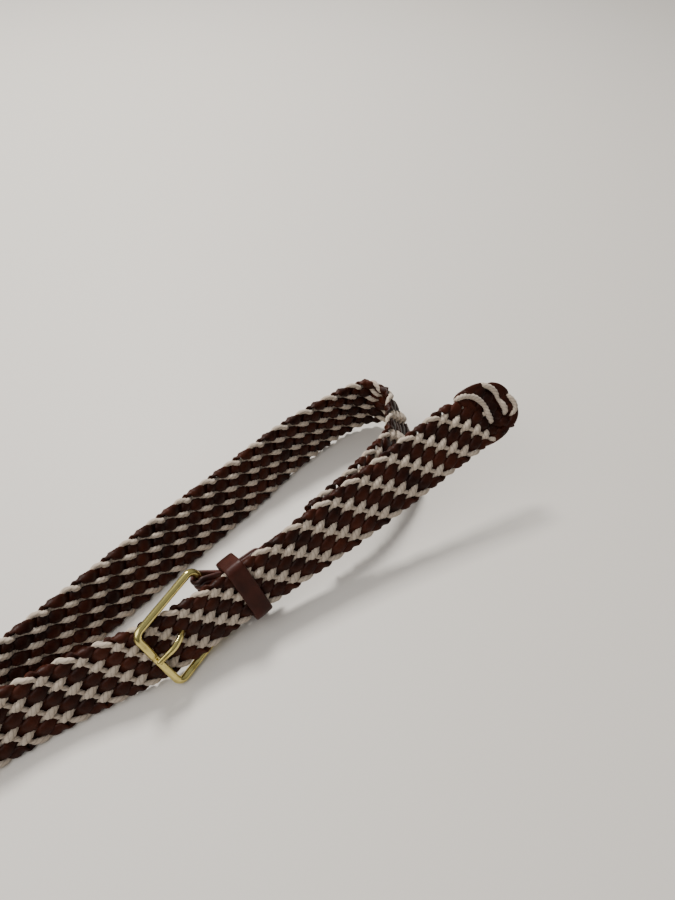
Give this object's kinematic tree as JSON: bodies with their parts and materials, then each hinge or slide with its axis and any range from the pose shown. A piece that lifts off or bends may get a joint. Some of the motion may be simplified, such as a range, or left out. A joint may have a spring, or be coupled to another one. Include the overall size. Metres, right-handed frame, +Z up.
{
  "type": "braided belt",
  "caption": "Fastened flat braided belt of brown leather strips and cream cord, with a brass prong buckle and leather keeper, standing on its edge.",
  "frame": {"origin": "on the floor, under the middle of the belt's bounding box", "axes": "+X along the closed loop towards the free tip, -Y the side that the buckle faces, +Z up"},
  "size_m": [0.4438, 0.0928, 0.0652],
  "materials": {
    "braid_leather": "waxed dark brown strips plaited with cream cotton cord",
    "smooth_leather": "smooth dark reddish brown with a low sheen",
    "brass": "polished, with a soft satin haze"
  },
  "bodies": {
    "root": {"braided_strap": "braid_leather", "buckle_fold": "smooth_leather", "buckle_frame": "brass", "prong": "brass", "keeper": "smooth_leather"}
  },
  "joints": []
}
